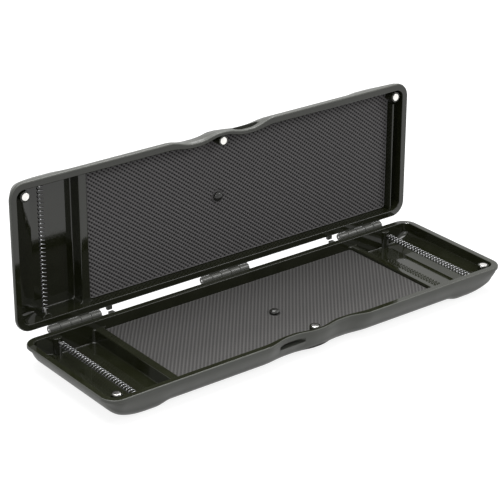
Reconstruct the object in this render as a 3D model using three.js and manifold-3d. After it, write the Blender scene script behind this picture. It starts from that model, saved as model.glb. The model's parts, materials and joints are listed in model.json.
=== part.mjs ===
// A long magnetic tackle box for fishing rigs, standing open with its lid on the hinge stops.
// The base and the lid are shallow plastic trays with the same rim. Steel springs across the end
// bays and slitted foam boards in the middle bays hold the rigs, and pairs of round magnets
// hold the closed rims together.
// Lengths are in millimetres. X runs along the box, Y from the finger side to the hinges, Z up.
import * as THREE from 'three';
import { mergeVertices } from 'three/addons/utils/BufferGeometryUtils.js';
import Module from 'manifold-3d';

const wasm = await Module();
wasm.setup();

// Rim of both trays
const RIM_LENGTH = 370;
const RIM_WIDTH = 112.4;
const RIM_FLAT = 4.4;
const RIM_CORNER = 11;
const RIM_ROUND = 1;
const LIP_DEPTH = 2.5;
const PARTING_GAP = 0.4;

// Outer walls and bottom
const BODY_CORNER = 17.7;
const MIDDLE_DEPTH = 18.3;
const LOBE_HEIGHT = 2.5;
const LOBE_START_INSET = 54;
const LOBE_FULL_INSET = 41;
const END_RUN = 35.7;
const LAST_STATION_SHARE = 0.95;
const SIDE_FILLET = 8.55;
const SIDE_SETBACK = 11.8;

// Inner walls and floor
const FLOOR_THICKNESS = 2;
const FLOOR_FILLET = 1;
const SCOOP_TOP = 6;
const SCOOP_RUN = 28.3;
const SCOOP_ARC_SHARE = 0.95018;
const DRAFT_DEG = 3;

// Finger scallops along the front edge, placed by their distance from the middle
const SCALLOP_END = 50;
const SCALLOP_FAR = 27;
const SCALLOP_NEAR = 22;
const CENTRE_FLAT = 2;
const RIM_WAVE = { scallop: 4.7, centre: 1.65 };
const FOOT_WAVE = { scallop: 2.1, centre: 0.3 };
const INNER_WAVE = { scallop: 2.65, centre: -0.9 };
const WAVE_BLEND_SHARE = 0.6;

// Finger pocket under the lip of one scallop
const POCKET_X = -25;
const POCKET_LENGTH = 24;
const POCKET_INTO_WALL = 2.2;
const POCKET_TOP = 4.25;
const POCKET_BOTTOM = 7.25;

// Partitions and the lid's rib, placed by their distance from the rim's edge
const PARTITION_TOP = 6.2;
const PARTITION_EDGE = 0.8;
const PARTITION_INSET = 59.2;
const LEFT_THICKNESS = 6.8;
const RIGHT_THICKNESS = 5;
const BAY_CORNER = 3;
const RIB_INSET = 10.5;
const RIB_THICKNESS = 2;
const RIB_TOP = 2.7;
const RIB_FRONT_INSET = 16.5;

// Foam boards and their studs
const FOAM_HEIGHT = 8.1;
const RIDGE_PITCH = 2.63;
const RIDGE_HEIGHT = 0.6;
const BASE_RIDGE_DEG = 51;
const LID_RIDGE_DEG = -37;
const STUD_X = 0;
const STUD_Y = -1.3;
const STUD_RISE = 2.7;
const STUD_RADIUS = 4;
const STUD_SHANK_RADIUS = 1.8;

// Magnets and their posts, placed by their distance from the rim's edges
const MAGNET_RADIUS = 3;
const MAGNET_THICKNESS = 2.7;
const MAGNET_TOP = 0.1;
const POST_RADIUS = 4.2;
const POST_TOP = 0.3;
const CORNER_MAGNET_INSET = { end: 11.7, front: 9.8 };
const CENTRE_MAGNET_X = 0;
const CENTRE_MAGNET_INSET = 7.7;

// Springs, their holder pins and the rear bosses
const SPRING_INSET = 26.6;
const SPRING_DEPTH = 5.9;
const SPRING_RADIUS = 2;
const WIRE_DIAMETER = 0.6;
const SPRING_REAR_INSET = 7.4;
const SPRING_TURNS = 31;
const HOLDER_RADIUS = 0.95;
const HOLDER_OUT = 3;
const HOLDER_IN = 2.1;
const BOSS_RADIUS = 4.2;
const BOSS_TOP = 2.6;

// Hinges and opening stops
const HINGE_BACK = 4.08;
const HINGE_INSET = 47.3;
const KNUCKLE_PITCH = 9;
const KNUCKLE_COUNT = 5;
const KNUCKLE_RADIUS = 2.75;
const NECK_DEPTH = 2.5;
const BORE_RADIUS = 1.3;
const HINGE_PIN_RADIUS = 0.9;
const OPEN_DEG = 91;
const STOP_INSET = 78.5;
const STOP_WIDTH = 4.5;
const STOP_REACH = 6;
const STOP_ROOT = 1;
const STOP_DEPTH = 6;
const STOP_GAP = 0.3;

// Clearances and cuts
const GAP = 0.3;
const SEAM = 0.04;
const FLATNESS = 0.01;
const EMBED = 1.2;
const OVERRUN = 2;

// Counts
const CORNER_STEPS = 4;
const FILLET_STEPS = 3;
const WAVE_STEPS = 20;
const END_STEPS = 6;
const RAMP_STEPS = 4;
const SCOOP_STEPS = 7;
const BARREL_SIDES = 12;
const PIN_SIDES = 8;
const MAGNET_SIDES = 14;
const COIL_STEPS = 8;
const WIRE_SIDES = 5;
const DOME_STEPS = 4;

// Worked out from the sizes above
const rimX = RIM_LENGTH / 2;
const rimY = RIM_WIDTH / 2;
const lipX = rimX + RIM_ROUND;
const lipY = rimY + RIM_ROUND;
const innerX = rimX - RIM_FLAT;
const innerY = rimY - RIM_FLAT;
const innerCorner = RIM_CORNER - RIM_FLAT;
const lobeDepth = MIDDLE_DEPTH + LOBE_HEIGHT;
const lobeStart = rimX - LOBE_START_INSET;
const lobeFull = rimX - LOBE_FULL_INSET;
const lobeEnd = lipX - END_RUN;
const draft = Math.tan(THREE.MathUtils.degToRad(DRAFT_DEG));
const floorDepth = MIDDLE_DEPTH - FLOOR_THICKNESS;
const foamTop = floorDepth - FOAM_HEIGHT;
const studTop = foamTop - STUD_RISE;
const partitionX = rimX - PARTITION_INSET;
const springX = rimX - SPRING_INSET;
const springRear = rimY - SPRING_REAR_INSET;
const stopX = rimX - STOP_INSET;
const axisY = rimY + HINGE_BACK;
const axisZ = PARTING_GAP / 2;
const openAngle = THREE.MathUtils.degToRad(OPEN_DEG);

// A smooth step from 0 to 1.
const ease = (share) => (1 - Math.cos(Math.PI * share)) / 2;

// How far along its swell a scallop is at x: 0 on the straight rim, 1 at the scallop's deepest.
function scallopShare(x) {
  const distance = Math.abs(x);
  if (distance >= SCALLOP_END || distance <= CENTRE_FLAT) return 0;
  if (distance > SCALLOP_FAR) return ease((SCALLOP_END - distance) / (SCALLOP_END - SCALLOP_FAR));
  if (distance >= SCALLOP_NEAR) return 1;
  return ease((distance - CENTRE_FLAT) / (SCALLOP_NEAR - CENTRE_FLAT));
}

// How far the front edge lies inside its straight line at x.
function waveDip(x, { scallop, centre }) {
  const share = scallopShare(x);
  if (Math.abs(x) >= SCALLOP_NEAR) return scallop * share;
  return centre + (scallop - centre) * share;
}

const waveXs = Array.from({ length: WAVE_STEPS + 1 }, (_, k) => SCALLOP_END * ((2 * k) / WAVE_STEPS - 1));

// A level outline with round corners, whose front edge may follow the scallops.
function planRing({ left, right, front, back, leftCorner, rightCorner, wave }, z) {
  const points = [];
  const corner = (x, y, radius, from) => {
    for (let k = 0; k <= CORNER_STEPS; k++) {
      const angle = from + ((k / CORNER_STEPS) * Math.PI) / 2;
      points.push(new THREE.Vector3(x + radius * Math.cos(angle), y + radius * Math.sin(angle), z));
    }
  };
  corner(left + leftCorner, front + leftCorner, leftCorner, Math.PI);
  if (wave) {
    for (const x of waveXs) points.push(new THREE.Vector3(x, front + waveDip(x, wave), z));
  }
  corner(right - rightCorner, front + rightCorner, rightCorner, 1.5 * Math.PI);
  corner(right - rightCorner, back - rightCorner, rightCorner, 0);
  corner(left + leftCorner, back - leftCorner, leftCorner, Math.PI / 2);
  return points;
}

// Turns every triangle over when a closed mesh encloses a negative volume.
function faceOutwards(positions, index) {
  const corner = (k) => new THREE.Vector3().fromArray(positions, 3 * index[k]);
  let volume = 0;
  for (let k = 0; k < index.length; k += 3) volume += corner(k).dot(corner(k + 1).cross(corner(k + 2)));
  if (volume < 0) index.reverse();
}

// A closed body through rings that have as many points each, with a fan over each end.
function skin(rings) {
  const count = rings[0].length;
  const points = rings.flat();
  const index = [];
  for (let r = 0; r < rings.length - 1; r++) {
    for (let k = 0; k < count; k++) {
      const a = r * count + k;
      const b = r * count + ((k + 1) % count);
      index.push(a, b, b + count, a, b + count, a + count);
    }
  }
  for (const [r, turned] of [[0, true], [rings.length - 1, false]]) {
    const hub = points.length;
    const middle = rings[r].reduce((sum, p) => sum.add(p), new THREE.Vector3());
    points.push(middle.divideScalar(count));
    for (let k = 0; k < count; k++) {
      const a = r * count + k;
      const b = r * count + ((k + 1) % count);
      index.push(hub, turned ? b : a, turned ? a : b);
    }
  }
  const positions = points.flatMap((p) => p.toArray());
  faceOutwards(positions, index);
  const geometry = new THREE.BufferGeometry();
  geometry.setAttribute('position', new THREE.Float32BufferAttribute(positions, 3));
  geometry.setIndex(index);
  return geometry;
}

// The solid of a closed geometry, for joins and cuts.
function solid(geometry) {
  const bare = geometry.clone();
  bare.deleteAttribute('normal');
  bare.deleteAttribute('uv');
  const merged = mergeVertices(bare);
  return new wasm.Manifold(new wasm.Mesh({
    numProp: 3,
    vertProperties: new Float32Array(merged.attributes.position.array),
    triVerts: new Uint32Array(merged.index.array),
  }));
}

// The mesh of a solid, without the needless triangles that joins and cuts leave on flat faces.
function geometryOf(body) {
  const mesh = body.asOriginal().simplify(FLATNESS).getMesh();
  const geometry = new THREE.BufferGeometry();
  geometry.setAttribute('position', new THREE.Float32BufferAttribute(mesh.vertProperties, 3));
  geometry.setIndex(new THREE.Uint32BufferAttribute(mesh.triVerts, 1));
  return geometry;
}

// A round bar along an axis, centred on a point.
function bar(along, radius, length, sides, x, y, z) {
  const geometry = new THREE.CylinderGeometry(radius, radius, length, sides);
  if (along === 'x') geometry.rotateZ(Math.PI / 2);
  if (along === 'z') geometry.rotateX(Math.PI / 2);
  return geometry.translate(x, y, z);
}

// A box given by its two opposite corners.
function block(low, high) {
  const size = new THREE.Vector3().subVectors(high, low);
  const centre = new THREE.Vector3().addVectors(low, high).multiplyScalar(0.5);
  return new THREE.BoxGeometry(size.x, size.y, size.z).translate(centre.x, centre.y, centre.z);
}

// A prism whose outline lies in the Y-Z plane, centred on x.
function crossPrism(outline, x, width) {
  const geometry = new THREE.ExtrudeGeometry(new THREE.Shape(outline), { depth: width, bevelEnabled: false });
  const turn = new THREE.Matrix4().makeBasis(
    new THREE.Vector3(0, 1, 0),
    new THREE.Vector3(0, 0, 1),
    new THREE.Vector3(1, 0, 0),
  );
  return geometry.applyMatrix4(turn).translate(x - width / 2, 0, 0);
}

// Outer form of a tray

// Depth of the bottom below the rim at x: flat, a lobe to stand on, then a rounded end.
function outerDepth(x) {
  const distance = Math.abs(x);
  if (distance <= lobeStart) return MIDDLE_DEPTH;
  if (distance < lobeFull) {
    const share = (distance - lobeStart) / (lobeFull - lobeStart);
    return MIDDLE_DEPTH + (lobeDepth - MIDDLE_DEPTH) * ease(share);
  }
  if (distance <= lobeEnd) return lobeDepth;
  const share = (distance - lobeEnd) / END_RUN;
  return LIP_DEPTH + (lobeDepth - LIP_DEPTH) * Math.sqrt(1 - share * share);
}

function bodyHalfWidth(x) {
  const past = Math.abs(x) - (lipX - BODY_CORNER);
  if (past <= 0) return lipY;
  return lipY - BODY_CORNER + Math.sqrt(BODY_CORNER * BODY_CORNER - past * past);
}

// The side of the middle section: a leaning wall from the lip, tangent to the bottom fillet.
// Each point is an inset from the lip and a share of the depth below the lip.
function sideCurve() {
  const centreDepth = MIDDLE_DEPTH - SIDE_FILLET - LIP_DEPTH;
  const distance = Math.hypot(SIDE_SETBACK, centreDepth);
  const lean = Math.atan2(SIDE_SETBACK, centreDepth) - Math.asin(SIDE_FILLET / distance);
  const curve = [{ inset: 0, share: 0 }];
  for (let k = 0; k <= FILLET_STEPS; k++) {
    const angle = lean + (k / FILLET_STEPS) * (Math.PI / 2 - lean);
    const depth = centreDepth + SIDE_FILLET * Math.sin(angle);
    curve.push({
      inset: SIDE_SETBACK - SIDE_FILLET * Math.cos(angle),
      share: depth / (MIDDLE_DEPTH - LIP_DEPTH),
    });
  }
  return curve;
}

// How far the front wall lies inside its straight line, at x and a share of the depth.
function wallDip(x, share) {
  const rim = waveDip(x, RIM_WAVE);
  const foot = waveDip(x, FOOT_WAVE);
  return rim + (foot - rim) * Math.min(1, share / WAVE_BLEND_SHARE);
}

// The outer section of a tray at x, from the top of the front wall round to the back wall.
function bodySection(x) {
  const width = bodyHalfWidth(x) - SEAM;
  const drop = outerDepth(x) - LIP_DEPTH;
  const top = -LIP_DEPTH / 2;
  const curve = sideCurve();
  const front = curve.map(({ inset, share }) => (
    new THREE.Vector3(x, -(width - inset - wallDip(x, share)), -(LIP_DEPTH + share * drop))
  ));
  const back = curve.map(({ inset, share }) => (
    new THREE.Vector3(x, width - inset, -(LIP_DEPTH + share * drop))
  ));
  const frontTop = new THREE.Vector3(x, front[0].y, top);
  const backTop = new THREE.Vector3(x, back[0].y, top);
  return [frontTop, ...front, ...back.reverse(), backTop];
}

function bodyStations() {
  const half = [];
  for (let k = END_STEPS; k >= 1; k--) {
    half.push(lobeEnd + END_RUN * Math.sin((k / END_STEPS) * LAST_STATION_SHARE * (Math.PI / 2)));
  }
  half.push(lobeEnd);
  for (let k = RAMP_STEPS; k >= 0; k--) half.push(lobeStart + (k / RAMP_STEPS) * (lobeFull - lobeStart));
  return [...half.map((x) => -x), ...waveXs, ...half.reverse()];
}

function outerForm() {
  const lip = { left: -lipX, right: lipX, front: -lipY, back: lipY, wave: RIM_WAVE };
  const lipCorner = RIM_CORNER + RIM_ROUND;
  const lipRing = { ...lip, leftCorner: lipCorner, rightCorner: lipCorner };
  const flatRing = {
    left: -rimX, right: rimX, front: -rimY, back: rimY,
    leftCorner: RIM_CORNER, rightCorner: RIM_CORNER, wave: RIM_WAVE,
  };
  const flange = skin([planRing(lipRing, -LIP_DEPTH), planRing(lipRing, -RIM_ROUND), planRing(flatRing, 0)]);
  const body = skin(bodyStations().map(bodySection));
  return solid(flange).add(solid(body));
}

// Inside of a tray

// How far along the box the rounded inner end reaches at a depth. Its curve meets the floor at a crease.
function innerEnd(depth) {
  const straight = innerX - draft * Math.min(depth, SCOOP_TOP);
  if (depth <= SCOOP_TOP) return straight;
  const share = (SCOOP_ARC_SHARE * (depth - SCOOP_TOP)) / (floorDepth - SCOOP_TOP);
  return straight - SCOOP_RUN * (1 - Math.sqrt(1 - share * share));
}

// How far the fillet round the floor stands out from a wall at a depth.
function filletInset(depth) {
  const past = depth - (floorDepth - FLOOR_FILLET);
  if (past <= 0) return 0;
  return FLOOR_FILLET - Math.sqrt(Math.max(0, FLOOR_FILLET * FLOOR_FILLET - past * past));
}

// How far the sloping edge of a partition's top is cut back at a depth.
const edgeCut = (depth) => Math.max(0, PARTITION_TOP + PARTITION_EDGE - Math.max(depth, PARTITION_TOP));

// The outline of a bay at a depth. A side given as null is the rounded end of the tray.
function bayRing({ left, right, wave }, depth, gap) {
  const lean = draft * depth;
  const side = innerY - lean - filletInset(depth) - gap;
  const fromPartition = draft * (depth - PARTITION_TOP) + filletInset(depth) - edgeCut(depth) + gap;
  return planRing({
    left: left === null ? gap - innerEnd(depth) : left + fromPartition,
    right: right === null ? innerEnd(depth) - gap : right - fromPartition,
    front: -side,
    back: side,
    leftCorner: left === null ? innerCorner : BAY_CORNER,
    rightCorner: right === null ? innerCorner : BAY_CORNER,
    wave,
  }, -depth);
}

// A bay's body between two depths, with a ring at each step of the rounded end. A step nearer to the
// ring above it than the height left clear has none.
function bayBody(bay, top, bottom, gap, clear = 0) {
  const depths = [top];
  if (top < PARTITION_TOP) depths.push(PARTITION_TOP, PARTITION_TOP + PARTITION_EDGE);
  for (let k = 0; k < SCOOP_STEPS; k++) {
    const depth = SCOOP_TOP + (floorDepth - SCOOP_TOP) * Math.sin(((k / SCOOP_STEPS) * Math.PI) / 2);
    if (depth > depths.at(-1) + clear && depth < bottom) depths.push(depth);
  }
  depths.push(bottom);
  return solid(skin(depths.map((depth) => bayRing(bay, depth, gap)).reverse()));
}

function cavity(bays) {
  const whole = { left: null, right: null, wave: INNER_WAVE };
  const mouth = bayRing(whole, 0, 0);
  const above = mouth.map((p) => new THREE.Vector3(p.x, p.y, OVERRUN));
  let room = solid(skin([bayRing(whole, PARTITION_TOP, 0), mouth, above]));
  for (const bay of bays) room = room.add(bayBody(bay, PARTITION_TOP - OVERRUN, floorDepth, SEAM));
  return room;
}

const magnetX = rimX - CORNER_MAGNET_INSET.end;
const magnetPlaces = [
  { name: 'left', x: -magnetX, y: CORNER_MAGNET_INSET.front - rimY },
  { name: 'centre', x: CENTRE_MAGNET_X, y: CENTRE_MAGNET_INSET - rimY },
  { name: 'right', x: magnetX, y: CORNER_MAGNET_INSET.front - rimY },
];

function post({ x, y }, radius, top, bottom) {
  return solid(bar('z', radius, bottom - top, MAGNET_SIDES, x, y, -(top + bottom) / 2));
}

// Places along Y of the spring and its holder pins.
const springWall = innerY - draft * SPRING_DEPTH;

// A round column on the rear wall, from the floor up past the spring's end.
function rearBoss(x) {
  return post({ x, y: springRear + BOSS_RADIUS }, BOSS_RADIUS, BOSS_TOP, MIDDLE_DEPTH);
}

// The holes for a spring's two holder pins, with their blind ends one gap past the pins.
function holderHoles(x) {
  const radius = HOLDER_RADIUS + GAP;
  const length = HOLDER_IN + GAP + OVERRUN;
  const frontY = -springWall - HOLDER_IN - GAP + length / 2;
  const rearY = springRear + HOLDER_IN + GAP - length / 2;
  const front = bar('y', radius, length, PIN_SIDES, x, frontY, -SPRING_DEPTH);
  const rear = bar('y', radius, length, PIN_SIDES, x, rearY, -SPRING_DEPTH);
  return solid(front).add(solid(rear));
}

function fingerPocket() {
  const depth = (POCKET_TOP + POCKET_BOTTOM) / 2;
  const share = (depth - LIP_DEPTH) / (MIDDLE_DEPTH - LIP_DEPTH);
  const [start, end] = sideCurve();
  const inset = (end.inset * share) / (end.share - start.share);
  const face = -(lipY - inset - wallDip(POCKET_X, share));
  const lens = new THREE.CylinderGeometry(1, 1, 1, 2 * BARREL_SIDES).rotateX(Math.PI / 2);
  lens.scale(POCKET_LENGTH / 2, POCKET_INTO_WALL, POCKET_BOTTOM - POCKET_TOP);
  const upright = solid(lens.translate(POCKET_X, face, -depth));
  const outside = block(
    new THREE.Vector3(POCKET_X - POCKET_LENGTH / 2, face - OVERRUN, -POCKET_BOTTOM),
    new THREE.Vector3(POCKET_X + POCKET_LENGTH / 2, face, -POCKET_TOP),
  );
  return upright.add(solid(outside));
}

// Hinge knuckles and stops

const hingeX = rimX - HINGE_INSET;
const hingePlaces = [
  { name: 'left', x: -hingeX },
  { name: 'centre', x: 0 },
  { name: 'right', x: hingeX },
];

// A tray's knuckles, on the square edge that the rim has along each hinge.
function knuckles(first) {
  const parts = [];
  for (const { x } of hingePlaces) {
    const reach = (KNUCKLE_PITCH * KNUCKLE_COUNT - GAP) / 2;
    parts.push(solid(block(
      new THREE.Vector3(x - reach, lipY - EMBED, -LIP_DEPTH),
      new THREE.Vector3(x + reach, lipY, 0),
    )));
    for (let k = first; k < KNUCKLE_COUNT; k += 2) {
      const place = x + (k - (KNUCKLE_COUNT - 1) / 2) * KNUCKLE_PITCH;
      const length = KNUCKLE_PITCH - GAP;
      parts.push(solid(bar('x', KNUCKLE_RADIUS, length, BARREL_SIDES, place, axisY, axisZ)));
      parts.push(solid(block(
        new THREE.Vector3(place - length / 2, lipY - EMBED, -NECK_DEPTH),
        new THREE.Vector3(place + length / 2, axisY, -RIM_ROUND / 2),
      )));
    }
  }
  return wasm.Manifold.union(parts);
}

function bores() {
  const length = KNUCKLE_PITCH * KNUCKLE_COUNT + OVERRUN;
  return hingePlaces.map(({ x }) => solid(bar('x', BORE_RADIUS, length, PIN_SIDES, x, axisY, axisZ)));
}

// A stop behind the rim. Its sloping face meets the other tray's when the box stands open.
function stop(x) {
  const angle = openAngle / 2;
  const onFace = (reach) => new THREE.Vector2(
    axisY + reach * Math.cos(angle) - (STOP_GAP / 2) * Math.sin(angle),
    axisZ - reach * Math.sin(angle) - (STOP_GAP / 2) * Math.cos(angle),
  );
  const outline = [
    new THREE.Vector2(lipY - EMBED, -RIM_ROUND / 2),
    new THREE.Vector2(axisY - STOP_ROOT, -RIM_ROUND / 2),
    onFace(STOP_ROOT),
    onFace(STOP_REACH),
    new THREE.Vector2(axisY, -STOP_DEPTH),
    new THREE.Vector2(lipY - 2 * EMBED, -STOP_DEPTH),
  ];
  return solid(crossPrism(outline.reverse(), x, STOP_WIDTH));
}

// One tray in its own frame: rim plane at z = 0, inside facing up, hinges at +Y.
function tray({ bays, springXs, firstKnuckle, rib }) {
  const outer = outerForm();
  let shell = outer.subtract(cavity(bays));
  let inside = wasm.Manifold.union([
    ...magnetPlaces.map((place) => post(place, POST_RADIUS, POST_TOP, MIDDLE_DEPTH)),
    ...springXs.map(rearBoss),
  ]);
  if (rib) inside = inside.add(solid(rib));
  shell = shell.add(inside.intersect(outer));
  shell = shell.add(knuckles(firstKnuckle)).add(stop(-stopX)).add(stop(stopX));
  const pocketBottom = MAGNET_TOP + MAGNET_THICKNESS + GAP;
  const cuts = [
    ...bores(),
    ...springXs.map(holderHoles),
    ...magnetPlaces.map((place) => post(place, MAGNET_RADIUS + GAP, -OVERRUN, pocketBottom)),
    fingerPocket(),
  ];
  return shell.subtract(wasm.Manifold.union(cuts));
}

// The room above the ridges of a board, which run side by side at an angle to X.
function ridgeRoom(angleDeg) {
  const reach = Math.hypot(rimX, rimY);
  const count = Math.ceil(reach / RIDGE_PITCH);
  const outline = [];
  for (let k = -count; k < count; k++) {
    outline.push(new THREE.Vector2(k * RIDGE_PITCH, -foamTop));
    outline.push(new THREE.Vector2((k + 1 / 2) * RIDGE_PITCH, -foamTop - RIDGE_HEIGHT));
  }
  for (const z of [-foamTop, OVERRUN - foamTop]) outline.push(new THREE.Vector2(count * RIDGE_PITCH, z));
  outline.push(new THREE.Vector2(-count * RIDGE_PITCH, OVERRUN - foamTop));
  return solid(crossPrism(outline, 0, 2 * reach).rotateZ(THREE.MathUtils.degToRad(angleDeg)));
}

// A foam board on a bay's floor, with its ridges, cut away round the magnet posts and the stud.
function foamBoard(bay, ridgeDeg, trimmed) {
  const notches = magnetPlaces.map((place) => post(place, POST_RADIUS + GAP, 0, floorDepth));
  const hole = post({ x: STUD_X, y: STUD_Y }, STUD_SHANK_RADIUS + GAP, 0, floorDepth);
  const cuts = [ridgeRoom(ridgeDeg), hole, ...notches];
  if (trimmed) cuts.push(solid(trimmed));
  const board = bayBody(bay, foamTop - RIDGE_HEIGHT, floorDepth - GAP, GAP, 2 * RIDGE_HEIGHT);
  return board.subtract(wasm.Manifold.union(cuts));
}

function studGeometry() {
  const underside = foamTop - GAP;
  const foot = floorDepth - GAP;
  const profile = [
    new THREE.Vector2(0, -foot),
    new THREE.Vector2(STUD_SHANK_RADIUS, -foot),
    new THREE.Vector2(STUD_SHANK_RADIUS, -underside),
  ];
  for (let k = 0; k < DOME_STEPS; k++) {
    const angle = ((k / DOME_STEPS) * Math.PI) / 2;
    const rise = (underside - studTop) * Math.sin(angle);
    profile.push(new THREE.Vector2(STUD_RADIUS * Math.cos(angle), rise - underside));
  }
  profile.push(new THREE.Vector2(0, -studTop));
  return new THREE.LatheGeometry(profile, MAGNET_SIDES).rotateX(Math.PI / 2);
}

// Centre line of a spring: a straight end, the coils and a straight end, along Y.
function springLine() {
  const radius = SPRING_RADIUS - WIRE_DIAMETER / 2;
  const start = -springWall + GAP;
  const end = springRear - GAP;
  const coiled = end - start - 2 * WIRE_DIAMETER;
  const line = [{ y: start, angle: 0 }];
  for (let k = 0; k <= SPRING_TURNS * COIL_STEPS; k++) {
    const turns = k / COIL_STEPS;
    line.push({ y: start + WIRE_DIAMETER + (turns / SPRING_TURNS) * coiled, angle: 2 * Math.PI * turns });
  }
  line.push({ y: end, angle: 2 * Math.PI * SPRING_TURNS });
  return line.map(({ y, angle }) => {
    const radial = new THREE.Vector3(Math.cos(angle), 0, Math.sin(angle));
    return { radial, centre: radial.clone().multiplyScalar(radius).setY(y) };
  });
}

function springGeometry() {
  const line = springLine();
  const rings = line.map(({ centre, radial }, k) => {
    const before = line[Math.max(0, k - 1)].centre;
    const after = line[Math.min(line.length - 1, k + 1)].centre;
    const along = new THREE.Vector3().subVectors(after, before).normalize();
    const across = radial.clone().addScaledVector(along, -radial.dot(along)).normalize();
    const other = new THREE.Vector3().crossVectors(along, across);
    return Array.from({ length: WIRE_SIDES }, (_, side) => {
      const angle = (2 * Math.PI * side) / WIRE_SIDES;
      return centre.clone()
        .addScaledVector(across, (WIRE_DIAMETER / 2) * Math.cos(angle))
        .addScaledVector(other, (WIRE_DIAMETER / 2) * Math.sin(angle));
    });
  });
  return skin(rings);
}

// The least distance between points of the wire more than half a turn apart, less its diameter.
function leastSpringGap() {
  const line = springLine();
  let least = Infinity;
  for (let a = 0; a < line.length; a++) {
    for (let b = a + COIL_STEPS / 2 + 1; b < line.length; b++) {
      least = Math.min(least, line[a].centre.distanceTo(line[b].centre));
    }
  }
  return least - WIRE_DIAMETER;
}

// Materials
const plastic = () => new THREE.MeshStandardMaterial({ color: 0x24261e, roughness: 0.3, metalness: 0 });
const foam = () => new THREE.MeshStandardMaterial({ color: 0x55524f, roughness: 0.95, metalness: 0 });
const stud = () => new THREE.MeshStandardMaterial({ color: 0x2a2b26, roughness: 0.35, metalness: 0 });
const steel = () => new THREE.MeshStandardMaterial({ color: 0xb9bcc0, roughness: 0.25, metalness: 1 });
const nickel = () => new THREE.MeshStandardMaterial({ color: 0xd8d8d2, roughness: 0.15, metalness: 1 });

function piece(parent, name, geometry, material) {
  geometry.computeVertexNormals();
  const mesh = new THREE.Mesh(geometry, material);
  mesh.name = name;
  parent.add(mesh);
  return mesh;
}

function addMagnets(parent, owner, turned) {
  for (const { name, x, y } of magnetPlaces) {
    const geometry = bar('z', MAGNET_RADIUS, MAGNET_THICKNESS, MAGNET_SIDES, 0, 0, 0);
    const magnet = piece(parent, `${owner}_${turned[name]}_magnet`, geometry, nickel());
    magnet.position.set(x, y, -MAGNET_TOP - MAGNET_THICKNESS / 2);
  }
}

function addSpring(parent, owner, x) {
  const spring = piece(parent, `${owner}_spring`, springGeometry(), steel());
  spring.position.set(x, 0, -SPRING_DEPTH);
  const length = HOLDER_OUT + HOLDER_IN;
  const ends = [
    { name: 'front', y: -springWall - HOLDER_IN + length / 2 },
    { name: 'rear', y: springRear + HOLDER_IN - length / 2 },
  ];
  for (const { name, y } of ends) {
    const geometry = bar('y', HOLDER_RADIUS, length, PIN_SIDES, 0, 0, 0);
    const pin = piece(parent, `${owner}_spring_${name}_pin`, geometry, steel());
    pin.position.set(x, y, -SPRING_DEPTH);
  }
}

// The base, with a foam bay between two end bays
const box = new THREE.Group();
const leftWallX = partitionX - LEFT_THICKNESS;
const rightWallX = partitionX - RIGHT_THICKNESS;
const baseMiddle = { left: -leftWallX, right: rightWallX, wave: INNER_WAVE };
const baseBays = [
  { left: null, right: -partitionX },
  baseMiddle,
  { left: partitionX, right: null },
];
const baseShell = tray({ bays: baseBays, springXs: [-springX, springX], firstKnuckle: 0 });
piece(box, 'base_shell', geometryOf(baseShell), plastic());
piece(box, 'base_foam', geometryOf(foamBoard(baseMiddle, BASE_RIDGE_DEG)), foam());
piece(box, 'base_foam_stud', studGeometry(), stud()).position.set(STUD_X, STUD_Y, 0);
addMagnets(box, 'base', { left: 'left', centre: 'centre', right: 'right' });
addSpring(box, 'base_left', -springX);
addSpring(box, 'base_right', springX);

// The hinge pins, held by the base's knuckles
for (const { name, x } of hingePlaces) {
  const length = KNUCKLE_PITCH * KNUCKLE_COUNT - GAP;
  const geometry = bar('x', HINGE_PIN_RADIUS, length, PIN_SIDES, 0, 0, 0);
  const pin = piece(box, `hinge_pin_${name}`, geometry, steel());
  pin.position.set(x, axisY, axisZ);
}

// The lid: a tray turned over onto the base, then opened about the hinge axis. Turned over, its
// own +X end is the box's left end.
const lidPivot = new THREE.Group();
lidPivot.position.set(0, axisY, axisZ);
lidPivot.rotation.x = -openAngle;
box.add(lidPivot);
const lid = new THREE.Group();
lid.position.set(0, -axisY, axisZ);
lid.rotation.y = Math.PI;
lidPivot.add(lid);

const lidMiddle = { left: null, right: leftWallX, wave: INNER_WAVE };
const lidBays = [lidMiddle, { left: partitionX, right: null }];
const ribX = RIB_INSET - rimX;
const rib = block(
  new THREE.Vector3(ribX, RIB_FRONT_INSET - rimY, -floorDepth - EMBED),
  new THREE.Vector3(ribX + RIB_THICKNESS, innerY + EMBED, -RIB_TOP),
);
const pastRib = block(
  new THREE.Vector3(-rimX, -rimY, -floorDepth),
  new THREE.Vector3(ribX + RIB_THICKNESS + GAP, rimY, 0),
);
const lidShell = tray({ bays: lidBays, springXs: [springX], firstKnuckle: 1, rib });
piece(lid, 'lid_shell', geometryOf(lidShell), plastic());
piece(lid, 'lid_foam', geometryOf(foamBoard(lidMiddle, LID_RIDGE_DEG, pastRib)), foam());
piece(lid, 'lid_foam_stud', studGeometry(), stud()).position.set(STUD_X, STUD_Y, 0);
addMagnets(lid, 'lid', { left: 'right', centre: 'centre', right: 'left' });
addSpring(lid, 'lid_left', springX);

console.log(`least gap between a spring's coils: ${leastSpringGap().toFixed(2)} mm`);

// The origin is below the middle of the open box, on the surface that it stands on.
const bounds = new THREE.Box3().setFromObject(box, true);
const centre = bounds.getCenter(new THREE.Vector3());
box.position.set(-centre.x, -centre.y, -bounds.min.z);

export default box;
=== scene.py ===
# %% [markdown]
# A long magnetic tackle box for fishing rigs, standing open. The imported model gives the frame: two
# shallow trays on three barrel hinges, with foam boards, coil springs, magnets and studs in them.
# Here each of them gets its fine surface and its finish. All sizes below are in millimetres, in a
# tray's own frame: x along the box, y from the finger side to the hinges, z up from the rim.

# %% The frame
import json
import math
import bpy
import numpy as np
from mathutils import Matrix, Vector

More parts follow.
